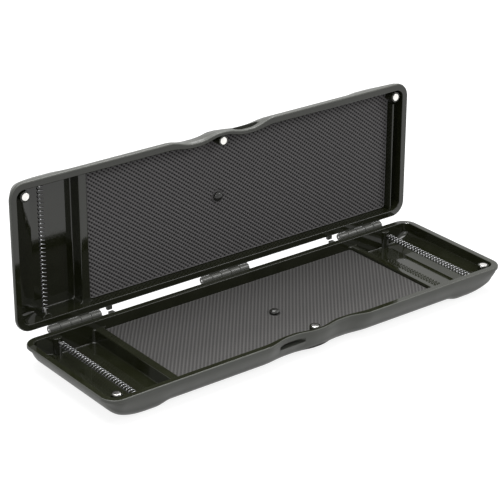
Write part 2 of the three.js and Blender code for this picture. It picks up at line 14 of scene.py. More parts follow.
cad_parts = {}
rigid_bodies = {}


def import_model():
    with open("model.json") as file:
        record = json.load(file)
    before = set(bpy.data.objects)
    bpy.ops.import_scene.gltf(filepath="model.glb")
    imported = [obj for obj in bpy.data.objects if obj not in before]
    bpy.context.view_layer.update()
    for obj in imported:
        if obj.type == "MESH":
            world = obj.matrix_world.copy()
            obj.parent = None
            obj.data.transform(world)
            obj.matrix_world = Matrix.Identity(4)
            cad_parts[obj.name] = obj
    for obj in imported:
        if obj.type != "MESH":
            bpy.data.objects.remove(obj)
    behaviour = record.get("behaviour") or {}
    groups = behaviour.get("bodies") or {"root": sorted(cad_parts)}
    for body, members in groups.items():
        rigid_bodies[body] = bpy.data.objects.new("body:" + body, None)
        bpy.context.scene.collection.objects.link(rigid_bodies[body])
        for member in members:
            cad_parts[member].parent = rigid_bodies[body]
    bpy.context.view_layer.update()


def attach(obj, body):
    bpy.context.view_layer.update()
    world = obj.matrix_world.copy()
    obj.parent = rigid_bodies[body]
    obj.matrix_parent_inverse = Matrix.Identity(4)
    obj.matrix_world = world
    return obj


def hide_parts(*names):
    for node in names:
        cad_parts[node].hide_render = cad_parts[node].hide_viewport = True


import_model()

# %% [markdown]
# The camera comes first, because every comparison with the photograph depends on it. Its place and
# turn were solved from the straight edges of the two rims, so they are written as numbers. The
# lens is long, which is why the box's edges stay almost parallel in the picture.

# %% The camera
CAMERA_PLACE = (-0.787498, -0.978406, 0.631099)
CAMERA_RIGHT = (0.787539, -0.616136, 0.012624)
CAMERA_UP = (0.246688, 0.333954, 0.909736)
CAMERA_BACK = (-0.564737, -0.713338, 0.414995)
LENS_MM, SENSOR_MM = 133.42, 36
CLIP_NEAR, CLIP_FAR = 0.05, 20

camera = bpy.data.objects.new("camera", bpy.data.cameras.new("camera"))
bpy.context.scene.collection.objects.link(camera)
camera.data.lens, camera.data.sensor_width = LENS_MM, SENSOR_MM
camera.data.clip_start, camera.data.clip_end = CLIP_NEAR, CLIP_FAR
columns = np.array([CAMERA_RIGHT, CAMERA_UP, CAMERA_BACK, CAMERA_PLACE]).T
camera.matrix_world = Matrix([*columns.tolist(), [0, 0, 0, 1]])
bpy.context.scene.camera = camera
bpy.context.scene.view_settings.view_transform = "Standard"
print("camera at", camera.matrix_world.translation)

# %% [markdown]
# A few helpers keep the materials short: one makes a node, sets its choices and fills its sockets.
# Writing each socket by hand would work too, but it would hide the recipe in repeated lines.

# %% Helpers for materials


def new_material(name):
    """An empty node material, its tree and its output node."""
    material = bpy.data.materials.new(name)
    material.use_nodes = True
    material.node_tree.nodes.clear()
    return material, material.node_tree, material.node_tree.nodes.new("ShaderNodeOutputMaterial")


def node(tree, kind, values=None, **settings):
    """One node of a tree: its settings, the values of its sockets, and links where given."""
    made = tree.nodes.new("ShaderNode" + kind)
    for key, value in settings.items():
        setattr(made, key, value)
    for key, value in (values or {}).items():
        if isinstance(value, bpy.types.NodeSocket):
            tree.links.new(value, made.inputs[key])
        else:
            made.inputs[key].default_value = value
    return made


def seen_share(tree):
    """1 for rays from the camera, off gloss or through glass, and 0 for the rest."""
    path = node(tree, "LightPath")
    gloss = node(tree, "Math", {0: path.outputs["Is Camera Ray"], 1: path.outputs["Is Glossy Ray"]},
                 operation="MAXIMUM")
    return node(tree, "Math", {0: gloss.outputs[0], 1: path.outputs["Is Transmission Ray"]},
                operation="MAXIMUM").outputs[0]


print("materials before the first new one:", len(bpy.data.materials))

# %% [markdown]
# The studio is a wide pale floor, a pale world and soft lamps. Glossy plastic shows what stands
# round it, so the white floor and world are also what the plastic mirrors. A curved white sheet
# could stand behind the box, but a flat floor under a white world looks the same from every side.

# %% Floor and world
FLOOR_HALF = 6.0
FLOOR_GREY, FLOOR_GLOW = 0.30, 0.84
WORLD_LIGHT, WORLD_SEEN = 0.45, 1.0

corners = [(-FLOOR_HALF, -FLOOR_HALF, 0), (FLOOR_HALF, -FLOOR_HALF, 0),
           (FLOOR_HALF, FLOOR_HALF, 0), (-FLOOR_HALF, FLOOR_HALF, 0)]
floor_mesh = bpy.data.meshes.new("floor")
floor_mesh.from_pydata(corners, [], [(0, 1, 2, 3)])
floor = bpy.data.objects.new("floor", floor_mesh)
bpy.context.scene.collection.objects.link(floor)
material, tree, output = new_material("floor_white")
matt = node(tree, "BsdfDiffuse", {"Color": (FLOOR_GREY, FLOOR_GREY, FLOOR_GREY, 1)})
shine = node(tree, "Math", {0: seen_share(tree), 1: FLOOR_GLOW}, operation="MULTIPLY")
glow = node(tree, "Emission", {"Color": (1, 1, 1, 1), "Strength": shine.outputs[0]})
both = node(tree, "AddShader", {0: matt.outputs[0], 1: glow.outputs[0]})
tree.links.new(both.outputs[0], output.inputs["Surface"])
floor_mesh.materials.append(material)

world = bpy.data.worlds.new("studio")
bpy.context.scene.world = world
world.use_nodes = True
tree = world.node_tree
strength = node(tree, "MapRange", {"Value": seen_share(tree), "To Min": WORLD_LIGHT,
                                   "To Max": WORLD_SEEN})
tree.nodes["Background"].inputs["Color"].default_value = (1, 1, 1, 1)
tree.links.new(strength.outputs[0], tree.nodes["Background"].inputs["Strength"])
print("studio: a floor", 2 * FLOOR_HALF, "m wide and a world")

# %% Lamps


def lamp(name, place, aim, size, power):
    """A soft square lamp at place that points at aim, in metres and watts."""
    light = bpy.data.lights.new(name, "AREA")
    light.shape, light.size, light.energy = "SQUARE", size, power
    made = bpy.data.objects.new(name, light)
    bpy.context.scene.collection.objects.link(made)
    made.location = place
    made.rotation_euler = (Vector(place) - Vector(aim)).to_track_quat("Z", "Y").to_euler()


lamp("overhead", (-0.15, 0.25, 1.5), (0, 0.02, 0.05), 1.1, 24)
lamp("front_left", (-1.3, -1.0, 0.9), (0, 0, 0.05), 0.9, 5)
lamp("front_right", (1.1, -1.0, 1.2), (0, 0, 0.05), 0.7, 7)
lamp("behind", (0.86, 0.95, 1.41), (0, 0.05, 0.1), 0.22, 13)
print("lamps:", len(bpy.data.lights))

# %% [markdown]
# Every new piece is worked out as arrays in a tray's own frame and then put in its place. The base
# only shifts. The lid is the same kind of tray turned over, so its points are turned half round
# the y axis and then about the hinge line by the opening angle. An object's own turn could do
# this, but the export sets every object to the origin, so the place goes into the points.

# %% From a tray's frame to the box
SHIFT = (0, -12.960236, 20.8)
RIM_X, RIM_Y = 185.0, 56.2
AXIS_OUT, AXIS_Z = 4.08, 0.2
AXIS_Y = RIM_Y + AXIS_OUT
OPEN_ANGLE = math.radians(91)
MM = 0.001


def place_base(points):
    """Base frame to row frame: a shift, then millimetres to metres."""
    return (np.asarray(points, float) + SHIFT) * MM


def place_lid(points):
    """Lid frame to row frame: x and z change sign, then a turn back about the hinge line."""
    x, y, z = np.asarray(points, float).T
    y0, z0 = y - AXIS_Y, AXIS_Z - z
    c, s = math.cos(-OPEN_ANGLE), math.sin(-OPEN_ANGLE)
    return place_base(np.stack([-x, AXIS_Y + y0 * c - z0 * s, AXIS_Z + y0 * s + z0 * c], axis=1))


PLACES = {"base": place_base, "lid": place_lid}
print("hinge line at", place_base([(0, AXIS_Y, AXIS_Z)])[0], "m")

# %% [markdown]
# Every body below is a loft, a stack of closed rings with quads between them and a flat face at
# each end, or is made of lofts that are joined and cut. Extruding and moving loops by hand would
# work too, but rings from a formula stay exact, and a number changes them. Cutting closed bodies
# leaves closed bodies, and a face keeps its slot, so each is painted before it is combined.

# %% Lofted bodies


def grid_faces(rows, columns):
    """Quads between the points of a grid stored row after row, each row joined round."""
    a = np.arange(rows - 1)[:, None] * columns + np.arange(columns)[None]
    b = np.arange(rows - 1)[:, None] * columns + (np.arange(columns)[None] + 1) % columns
    return np.stack([a, b, b + columns, a + columns], axis=-1).reshape(-1, 4)


def loft(rings):
    """A closed body through rings of as many points: quads between them and flat ends."""
    rings = np.asarray(rings, float)
    rows, count = rings.shape[:2]
    first = list(range(count))[::-1]
    last = (np.arange(count) + (rows - 1) * count).tolist()
    return rings.reshape(-1, 3), [*grid_faces(rows, count).tolist(), first, last]


def mesh_of(name, body):
    """A mesh of a closed body, turned round where its signed volume is negative, so that faces that
    agree with each other point outwards."""
    points, faces = body
    mesh = bpy.data.meshes.new(name)
    mesh.from_pydata(np.asarray(points).tolist(), [], faces)
    mesh.calc_loop_triangles()
    triangles = np.zeros(3 * len(mesh.loop_triangles), np.int32)
    mesh.loop_triangles.foreach_get("vertices", triangles)
    a, b, c = np.asarray(points)[triangles.reshape(-1, 3)].transpose(1, 0, 2)
    if np.einsum("ij,ij->i", a, np.cross(b, c)).sum() < 0:
        mesh.flip_normals()
    return mesh


print("a loft of two rings of four points has", len(loft(np.zeros((2, 4, 3)))[1]), "faces")

# %% Painting, joining and placing meshes
SATIN, GLOSS, BARREL = 0, 1, 2
SHARP_ANGLE = math.radians(32)


def paint(mesh, slot):
    """Gives every face of a mesh one of the three material slots of a tray."""
    while len(mesh.materials) <= BARREL:
        mesh.materials.append(None)
    mesh.polygons.foreach_set("material_index", np.full(len(mesh.polygons), slot, np.int32))
    return mesh


def show(name, mesh):
    """Puts a mesh in the scene as an object at the origin."""
    made = bpy.data.objects.new(name, mesh)
    bpy.context.scene.collection.objects.link(made)
    return made


def combine(kind, first, other):
    """Joins, cuts or intersects two closed meshes and gives the mesh that is left."""
    result, tool = show("working", first), show("tool", other)
    change = result.modifiers.new("combine", "BOOLEAN")
    change.operation, change.solver, change.object = kind, "MANIFOLD", tool
    graph = bpy.context.evaluated_depsgraph_get()
    mesh = bpy.data.meshes.new_from_object(result.evaluated_get(graph))
    bpy.data.objects.remove(tool)
    bpy.data.objects.remove(result)
    return mesh


def points_of(mesh):
    """The points of a mesh as rows of x, y and z."""
    flat = np.zeros(3 * len(mesh.vertices), np.float32)
    mesh.vertices.foreach_get("co", flat)
    return flat.reshape(-1, 3)


def settle(mesh, place):
    """Moves the points of a mesh from a tray's frame to their place in the box."""
    mesh.vertices.foreach_set("co", place(points_of(mesh)).astype(np.float32).ravel())
    mesh.update()


def shade(mesh, angle):
    """Smooth faces, with a sharp edge wherever two of them meet at more than the angle."""
    mesh.polygons.foreach_set("use_smooth", np.ones(len(mesh.polygons), bool))
    mesh.set_sharp_from_angle(angle=angle)


print("edges are sharp from", round(math.degrees(SHARP_ANGLE)), "degrees")

# %% [markdown]
# The rims of both trays follow one outline: straight sides, round corners, and two finger scallops
# along the front with a gentle hump between them. The scallops could be cut with cylinders, but
# the real edge swells smoothly, so it is written as a cosine dip that depends on x alone.

# %% The outline of a tray
RIM_CORNER, RIM_ROUND, RIM_FLAT = 11.0, 1.0, 4.4
SCALLOP_END, SCALLOP_FAR, SCALLOP_NEAR, CENTRE_FLAT = 50.0, 27.0, 22.0, 2.0
RIM_WAVE, FOOT_WAVE, INNER_WAVE = (4.7, 1.65), (2.1, 0.3), (2.65, -0.9)
CORNER_POINTS, FRONT_POINTS = 13, 101
FRONT_XS = np.linspace(-SCALLOP_END, SCALLOP_END, FRONT_POINTS)


def ease(share):
    """A smooth step: half of one minus the cosine, level before 0 and after 1."""
    return (1 - np.cos(np.pi * np.clip(share, 0, 1))) / 2


def wave_dip(x, wave):
    """How far the front edge lies inside its straight line at x, from the scallop's and the
    centre's dips."""
    scallop, centre = wave
    far = np.abs(x)
    share = np.minimum(ease((SCALLOP_END - far) / (SCALLOP_END - SCALLOP_FAR)),
                       ease((far - CENTRE_FLAT) / (SCALLOP_NEAR - CENTRE_FLAT)))
    return np.where(far >= SCALLOP_NEAR, scallop * share, centre + (scallop - centre) * share)


def outline(left, right, front, back, radii, z, wave=None):
    """A level ring: four quarter circles, radii for the left and right pair, and straight sides
    between them. The front side dips inwards by wave_dip where a wave is given."""
    turn = np.linspace(0, np.pi / 2, CORNER_POINTS)

    def corner(x, y, radius, start):
        across, along = radius * np.cos(start + turn), radius * np.sin(start + turn)
        return np.stack([x + across, y + along], axis=1)

    a, b = radii
    sides = [corner(left + a, front + a, a, np.pi)]
    if wave:
        sides.append(np.stack([FRONT_XS, front + wave_dip(FRONT_XS, wave)], axis=1))
    sides += [corner(right - b, front + b, b, 1.5 * np.pi), corner(right - b, back - b, b, 0),
              corner(left + a, back - a, a, np.pi / 2)]
    flat = np.concatenate(sides)
    return np.column_stack([flat, np.full(len(flat), z)])


print("the rim's front dips", RIM_WAVE[0], "mm in a scallop and", RIM_WAVE[1], "mm between them")

# %% [markdown]
# The outside of a tray is a rim with a round edge over a body whose walls lean in and turn under
# in a wide fillet. At both ends the body also steps in under the lip. It could be a box with its
# edges rounded, but its bottom swells into two lobes and bends up at the ends, so it is a function
# on a grid: stations along x, and points round the section at each station. One scallop of each
# tray has a finger pocket under its lip, which is one more term, so the wall around it stays
# smooth.

# %% The rim
LIP_DEPTH, LOW_ROUND = 2.5, 0.25
LIP_X, LIP_Y = RIM_X + RIM_ROUND, RIM_Y + RIM_ROUND
RIM_POINTS = 7


def rim_body():
    """The rim as a lofted band: a small round below, an upright edge and a quarter round on top."""
    turn = np.linspace(0, np.pi / 2, RIM_POINTS)
    low = turn[::2]
    insets = np.concatenate([LOW_ROUND * (1 - np.sin(low)), RIM_ROUND * (1 - np.cos(turn))])
    heights = np.concatenate([-LIP_DEPTH + LOW_ROUND * (1 - np.cos(low)),
                              RIM_ROUND * (np.sin(turn) - 1)])
    return loft([outline(-LIP_X + i, LIP_X - i, -LIP_Y + i, LIP_Y - i,
                         (RIM_CORNER + RIM_ROUND - i,) * 2, z, RIM_WAVE)
                 for i, z in zip(insets, heights)])


rim = mesh_of("rim", rim_body())
print("rim:", len(rim.polygons), "faces")

# %% The body's lines along the tray
BODY_CORNER, MIDDLE_DEPTH, LOBE_DEPTH = 10.0, 18.3, 20.8
LOBE_START, LOBE_FULL, END_RUN, END_INSET, END_POWER = 131.0, 144.0, 32.7, 3.0, 2.3
BODY_X = LIP_X - END_INSET
LOBE_END = BODY_X - END_RUN


def outer_depth(x):
    """Depth of the bottom below the rim: level, then an eased lobe, then a quarter of a curve a
    little fuller than an ellipse."""
    far = np.abs(x)
    rise = ease((far - LOBE_START) / (LOBE_FULL - LOBE_START))
    lobe = MIDDLE_DEPTH + (LOBE_DEPTH - MIDDLE_DEPTH) * rise
    share = np.clip((far - LOBE_END) / END_RUN, 0, 1)
    bend = LIP_DEPTH + (LOBE_DEPTH - LIP_DEPTH) * (1 - share**END_POWER) ** (1 / END_POWER)
    return np.where(far > LOBE_END, bend, lobe)


def half_width(x):
    """Half of the body's width under the lip: level, then a quarter circle at each end."""
    past = np.clip(np.abs(x) - (BODY_X - BODY_CORNER), 0, BODY_CORNER)
    return LIP_Y - BODY_CORNER + np.sqrt(BODY_CORNER**2 - past**2)


print("the body is", outer_depth(0), "mm deep, and", outer_depth(LOBE_FULL), "mm at its lobes")

# %% The body's section across the tray
SIDE_FILLET, SIDE_SETBACK = 8.55, 11.8
WAVE_BLEND = 0.6
POCKET_X, POCKET_HALF, POCKET_DEEP = -25.0, 12.0, 2.2
POCKET_TOP, POCKET_BOTTOM, POCKET_EDGE = 4.25, 7.25, 0.08
ABOVE_POCKET, WALL_POINTS, FILLET_POINTS = 5, 9, 14


def side_rows():
    """Depth below the lip and inset from it, down the wall and round the fillet. The wall's inset
    is a cubic that starts upright and meets the fillet at its own lean."""
    centre = MIDDLE_DEPTH - SIDE_FILLET - LIP_DEPTH
    far = math.hypot(SIDE_SETBACK, centre)
    lean = math.atan2(SIDE_SETBACK, centre) - math.asin(SIDE_FILLET / far)
    foot_depth = centre + SIDE_FILLET * math.sin(lean)
    foot_inset = SIDE_SETBACK - SIDE_FILLET * math.cos(lean)
    top, low = POCKET_TOP - LIP_DEPTH, POCKET_BOTTOM - LIP_DEPTH
    wall = np.concatenate([np.linspace(0, top, ABOVE_POCKET),
                           np.linspace(top + POCKET_EDGE, low, WALL_POINTS),
                           np.linspace(low + POCKET_EDGE, foot_depth, WALL_POINTS)])
    share = wall / foot_depth
    turn = np.linspace(lean, np.pi / 2, FILLET_POINTS)[1:]
    depth = np.concatenate([wall, centre + SIDE_FILLET * np.sin(turn)])
    inset = np.concatenate([foot_inset * (2 * share**2 - share**3),
                            SIDE_SETBACK - SIDE_FILLET * np.cos(turn)])
    return depth, inset


def front_dip(x, depth):
    """How far the front wall lies inside its straight line at x and a depth below the lip: the
    rim's wave fades into the foot's. In the pocket the wall steps in under the lip, and out again
    below."""
    rim, foot = wave_dip(x, RIM_WAVE), wave_dip(x, FOOT_WAVE)
    fade = np.clip(depth / (MIDDLE_DEPTH - LIP_DEPTH) / WAVE_BLEND, 0, 1)
    plain = rim + (foot - rim) * fade
    below = depth > POCKET_BOTTOM - LIP_DEPTH
    inside = (depth > POCKET_TOP - LIP_DEPTH) & ~below
    stepped = np.where(below, foot, rim) + np.where(inside, POCKET_DEEP, 0)
    weight = np.clip(1 - ((x - POCKET_X) / POCKET_HALF) ** 2, 0, 1) ** 0.5
    return plain + (stepped - plain) * weight


print("points down one side of the body:", len(side_rows()[0]))

# %% The body under the rim
FLUSH, LEAST_DROP = 0.02, 0.05
MIDDLE_XS = (60, 90)
RAMP_POINTS, POCKET_POINTS, BEND_POINTS, BEND_SHARE = 15, 49, 29, 0.4995


def lower_body(shrink=0.0):
    """The body under the rim as a grid: stations along x by points round the section. With shrink
    it lies that far inside, which keeps the feet of inner posts within the walls."""
    bend = LOBE_END + END_RUN * np.sin(np.linspace(0, BEND_SHARE, BEND_POINTS) * np.pi)
    ramp = np.linspace(LOBE_START, LOBE_FULL, RAMP_POINTS)
    fine = np.linspace(POCKET_X - POCKET_HALF, POCKET_X + POCKET_HALF, POCKET_POINTS)
    half = np.concatenate([MIDDLE_XS, ramp, bend])
    xs = np.unique(np.round(np.concatenate([-half, FRONT_XS, fine, half]), 4))
    depth, inset = side_rows()
    drop = outer_depth(xs)[:, None] - LIP_DEPTH - shrink
    across = half_width(xs)[:, None] - FLUSH - shrink - inset[None]
    front_y = -(across - front_dip(xs[:, None], depth[None]))
    z = -(LIP_DEPTH + np.maximum(drop, LEAST_DROP) * depth / (MIDDLE_DEPTH - LIP_DEPTH))
    top = np.full((len(xs), 1), -LIP_DEPTH / 2)
    y = np.concatenate([front_y[:, :1], front_y, across[:, ::-1], across[:, :1]], axis=1)
    z = np.concatenate([top, z, z[:, ::-1], top], axis=1)
    return loft(np.stack([np.broadcast_to(xs[:, None], y.shape), y, z], axis=2))


outer = combine("UNION", rim, mesh_of("body", lower_body()))
print("outside of a tray:", len(outer.polygons), "faces")

# %% [markdown]
# The inside of a tray is a row of bays. Each bay is one lofted body that is cut out of the
# outside: its rings narrow with depth, because moulded walls need a draft, and swing in at the
# floor for the fillet. Towards an end of the tray the rings pull back along an arc of an ellipse,
# which makes the scoop there and meets the floor at a crease. Giving the outside a thickness would
# be quicker, but it would copy the lobes and the pocket inwards, which the real tray doesn't have.

# %% The inside of a tray
FLOOR_DEPTH, FLOOR_FILLET = 16.3, 1.0
SCOOP_TOP, SCOOP_RUN, SCOOP_ARC_SHARE = 6.0, 28.3, 0.95018
PARTITION_TOP, PARTITION_ROUND = 6.2, 0.8
BAY_CORNER, INNER_CORNER, MOUTH_ROUND = 3.0, 6.6, 0.6
DRAFT = math.tan(math.radians(3))
INNER_X, INNER_Y = RIM_X - RIM_FLAT, RIM_Y - RIM_FLAT
OVERLAP, HAIR, ABOVE = 0.5, 0.01, 2.0


def quarter(radius, along):
    """How far a quarter round of a radius stands off its corner, at a distance along it."""
    return radius - np.sqrt(np.maximum(0, radius**2 - np.clip(radius - along, 0, radius) ** 2))


def inner_end(depth):
    """How far the rounded inner end reaches along x at a depth: drafted, then an ellipse's arc that
    ends a little short of a quarter."""
    share = SCOOP_ARC_SHARE * np.clip((depth - SCOOP_TOP) / (FLOOR_DEPTH - SCOOP_TOP), 0, 1)
    return INNER_X - DRAFT * min(depth, SCOOP_TOP) - SCOOP_RUN * (1 - math.sqrt(1 - share**2))


def bay_ring(bay, depth, joined, gap):
    """A bay's outline at a depth. Each side is the tray's end, or a partition given as its face and
    the partition's middle. Joined rings run past that middle, so that two neighbouring bays run
    into each other above their partition."""
    fillet = quarter(FLOOR_FILLET, FLOOR_DEPTH - depth)
    mouth = quarter(MOUTH_ROUND, max(depth, 0))
    side = INNER_Y - DRAFT * max(depth, 0) - fillet + mouth - gap
    past = depth - PARTITION_TOP
    ends, radii = [], []
    for sign, wall in ((-1, bay["left"]), (1, bay["right"])):
        if wall is None:
            ends.append(sign * (inner_end(depth) + mouth - gap))
            radii.append(INNER_CORNER)
        elif joined:
            ends.append(wall[1] + sign * OVERLAP)
            radii.append(HAIR)
        else:
            lean = DRAFT * past + fillet - quarter(PARTITION_ROUND, past)
            ends.append(wall[0] - sign * (lean + gap))
            radii.append(BAY_CORNER)
    return outline(ends[0], ends[1], -side, side, radii, -depth, bay.get("wave"))


print("a bay's end lies at", INNER_X, "mm above and", round(inner_end(FLOOR_DEPTH), 1), "mm below")

# %% A bay
MOUTH_POINTS, EDGE_POINTS, SCOOP_POINTS, LEAST_STEP = 5, 6, 29, 0.02


def bay_body(bay, gap):
    """The bay as a loft: open above the rim, joined down to the partition's top, then narrowing."""
    upper = [-ABOVE, *np.linspace(0, MOUTH_ROUND, MOUTH_POINTS), PARTITION_TOP - gap]
    edge = PARTITION_TOP + PARTITION_ROUND * (1 - np.cos(np.linspace(0, np.pi / 2, EDGE_POINTS)))
    scoop = SCOOP_TOP + (FLOOR_DEPTH - SCOOP_TOP) * np.sin(np.linspace(0, np.pi / 2, SCOOP_POINTS))
    lower = [*edge, *scoop[scoop > edge[-1] + LEAST_STEP]]
    rings = [bay_ring(bay, depth, True, gap) for depth in upper]
    rings += [bay_ring(bay, depth, False, gap) for depth in lower]
    return loft(rings)


LEFT_WALL, RIGHT_WALL = (125.8, 119.0), (125.8, 120.8)
left_middle, right_middle = sum(LEFT_WALL) / 2, sum(RIGHT_WALL) / 2
BASE_BAYS = [{"left": None, "right": (-LEFT_WALL[0], -left_middle)},
             {"left": (-LEFT_WALL[1], -left_middle), "right": (RIGHT_WALL[1], right_middle),
              "wave": INNER_WAVE},
             {"left": (RIGHT_WALL[0], right_middle), "right": None}]
LID_BAYS = [{"left": None, "right": (LEFT_WALL[1], left_middle), "wave": INNER_WAVE},
            {"left": (LEFT_WALL[0], left_middle), "right": None}]
print("bays:", len(BASE_BAYS), "in the base and", len(LID_BAYS), "in the lid")

# %% [markdown]
# Posts for the magnets, columns for the springs and the low rib are turned or extruded bodies that
# are joined to the tray. A cylinder with a bevel would do for a post, but here a lathe makes all
# the round ones alike: a profile of radius and height is carried round an axis. A flat face closes
# each end of the profile, and where its ring is tiny, that face stands for the pole on the axis.

# %% Turned and extruded bodies
ROUND_POINTS, ON_AXIS = 5, 0.01


def turned(profile, place, sides, axis="z"):
    """A profile of (radius, height) carried round an axis and set at a place."""
    radius, height = np.asarray(profile, float).T
    angle = np.arange(sides) * 2 * np.pi / sides
    ring = np.stack([radius[:, None] * np.cos(angle), radius[:, None] * np.sin(angle),
                     np.broadcast_to(height[:, None], (len(radius), sides))], axis=2)
    order = {"z": (0, 1, 2), "y": (0, 2, 1), "x": (2, 0, 1)}[axis]
    return loft(ring[:, :, order] + np.asarray(place, float))


def round_top(radius, top, edge):
    """The profile of a round edge, from the side of a turned body up to its flat top."""
    turn = np.linspace(0, np.pi / 2, ROUND_POINTS)
    return np.stack([radius - edge * (1 - np.cos(turn)), top - edge * (1 - np.sin(turn))], axis=1)


def rod(radius, length, edge, place, axis, sides):
    """A round rod whose two ends have rounded edges, set at the place of its middle."""
    end = round_top(radius, length / 2, edge)
    return turned(np.concatenate([end[::-1] * (1, -1), end]), place, sides, axis)


def extruded(outline_yz, x, width, edge):
    """An outline in the y-z plane carried along x, drawn in by an edge at both ends."""
    flat = np.asarray(outline_yz, float)
    middle = flat.mean(axis=0)
    small = middle + (flat - middle) * (1 - edge / np.abs(flat - middle).max())
    rows = [(small, -width / 2), (flat, -width / 2 + edge), (flat, width / 2 - edge),
            (small, width / 2)]
    return loft([np.column_stack([np.full(len(p), x + dx), p]) for p, dx in rows])


print("a round edge has", ROUND_POINTS, "points")

# %% Posts, columns and the rib
POST_RADIUS, POST_TOP, POST_EDGE, POST_SIDES = 4.2, 0.3, 0.5, 48
MAGNET_RADIUS, MAGNET_THICK, MAGNET_TOP, GAP = 3.0, 2.7, 0.1, 0.3
MAGNETS = {"left": (-173.3, -46.4), "centre": (0.0, -48.5), "right": (173.3, -46.4)}
SPRING_X, SPRING_DEPTH, SPRING_REAR = 158.4, 5.9, 48.8
SPRING_WALL = INNER_Y - DRAFT * SPRING_DEPTH
COLUMN_RADIUS, COLUMN_TOP, COLUMN_SIDES, EMBED = 4.2, 2.6, 64, 1.2
RIB_X, RIB_THICK, RIB_TOP, RIB_FRONT, CREST_POINTS = -173.5, 2.0, 2.7, -39.7, 9


def post(x, y):
    """A magnet's post with a round edge and a blind hole that leaves a gap round the magnet."""
    hole, floor = MAGNET_RADIUS + GAP, -(MAGNET_TOP + MAGNET_THICK + GAP)
    return turned([(ON_AXIS, -LOBE_DEPTH), (POST_RADIUS, -LOBE_DEPTH),
                   *round_top(POST_RADIUS, -POST_TOP, POST_EDGE),
                   (hole, -POST_TOP), (hole, floor), (ON_AXIS, floor)], (x, y, 0), POST_SIDES)


def column(x):
    """A round column on the rear wall with a round top edge, which carries a spring's rear end."""
    return turned([(ON_AXIS, -LOBE_DEPTH), (COLUMN_RADIUS, -LOBE_DEPTH),
                   *round_top(COLUMN_RADIUS, -COLUMN_TOP, POST_EDGE), (ON_AXIS, -COLUMN_TOP)],
                  (x, SPRING_REAR + COLUMN_RADIUS, 0), COLUMN_SIDES)


def rib_body():
    """A low rib with a rounded crest, from the hinge wall to its free front end."""
    turn = np.linspace(0, np.pi, CREST_POINTS)
    half = RIB_THICK / 2
    crest = [(half * math.cos(a), -RIB_TOP - half + half * math.sin(a)) for a in turn]
    section = np.array([(half, -FLOOR_DEPTH - EMBED), *crest, (-half, -FLOOR_DEPTH - EMBED)])
    return loft([np.column_stack([RIB_X + section[:, 0], np.full(len(section), y), section[:, 1]])
                 for y in (RIB_FRONT, INNER_Y + EMBED)])


print("posts for magnets, a tray:", len(MAGNETS))

# %% [markdown]
# Each hinge is a row of five barrels on one axis, which belong to the base and the lid by turns,
# with a steel rod through them. One long cylinder would look nearly the same while the box stands
# open, but the barrels have to part as the lid turns, so each has its own neck from its own rim.
# Two small blocks behind each rim are the stops that hold the lid open.

# %% Hinge knuckles and stops
HINGE_XS = {"left": -137.7, "centre": 0.0, "right": 137.7}
KNUCKLE_PITCH, KNUCKLE_COUNT, KNUCKLE_RADIUS, KNUCKLE_EDGE = 9.0, 5, 2.75, 0.3
HINGE_LENGTH = KNUCKLE_PITCH * KNUCKLE_COUNT - GAP
KNUCKLE_SIDES, NECK_DEPTH, NECK_LIFT, NECK_EDGE = 40, 2.5, 0.2, 0.2
BORE_RADIUS, BORE_HALF, PIN_RADIUS, PIN_SIDES = 1.3, 25, 0.9, 24
SQUARE_EDGE = 0.1
STOP_X, STOP_WIDTH, STOP_OUT, STOP_LIFT, STOP_EDGE = 106.5, 4.5, 2.7, 0.2, 0.25


def knuckle(x):
    """One barrel of a hinge, and the neck that carries it from the rim's back wall to its axis."""
    length = KNUCKLE_PITCH - GAP
    barrel = rod(KNUCKLE_RADIUS, length, KNUCKLE_EDGE, (x, AXIS_Y, AXIS_Z), "x", KNUCKLE_SIDES)
    section = [(LIP_Y - EMBED, -NECK_DEPTH), (AXIS_Y, -NECK_DEPTH + AXIS_Z + NECK_LIFT),
               (AXIS_Y, -RIM_ROUND / 2), (LIP_Y - EMBED, -RIM_ROUND / 2)]
    return barrel, extruded(section, x, length, NECK_EDGE)


def back_block(x, width, out, low, edge):
    """A block on the rim's back wall that stands out from it, between a low height and its top."""
    section = [(LIP_Y - EMBED, low), (LIP_Y + out, low), (LIP_Y + out, -HAIR),
               (LIP_Y - EMBED, -HAIR)]
    return extruded(section, x, width, edge)


def hinge_edge(x):
    """The square edge that the rim has along a hinge, where it stands close to the barrels."""
    return back_block(x, HINGE_LENGTH, HAIR, -LIP_DEPTH + HAIR, SQUARE_EDGE)


def stop_body(x):
    """A stop: a block behind the rim, whose edge nears the other tray's when the box is open."""
    return back_block(x, STOP_WIDTH, STOP_OUT, -LIP_DEPTH + STOP_LIFT, STOP_EDGE)


print("hinges:", len(HINGE_XS), "of", KNUCKLE_COUNT, "barrels over", HINGE_LENGTH, "mm")

# %% [markdown]
# Now a whole tray is put together: the bays are cut out, the inner parts are trimmed to the body
# and joined, then the knuckles and stops, and last the bores. The cut-out faces keep the gloss
# slot, the outer ones the satin slot and the barrels their own, because the real mould is polished
# inside, finely textured outside and smoother at the hinges. The satin and barrel slots also carry
# painted light: their colours are paler than the gloss's. Separate objects would be simpler, but
# they would show seams that one moulding doesn't have.

# %% A whole tray
CORE_INSET = 0.6


def lower_core():
    """The body a little inside its walls, with its top level with the rim."""
    points, faces = lower_body(CORE_INSET)
    points[points[:, 2] > -LIP_DEPTH + HAIR, 2] = 0
    return points, faces


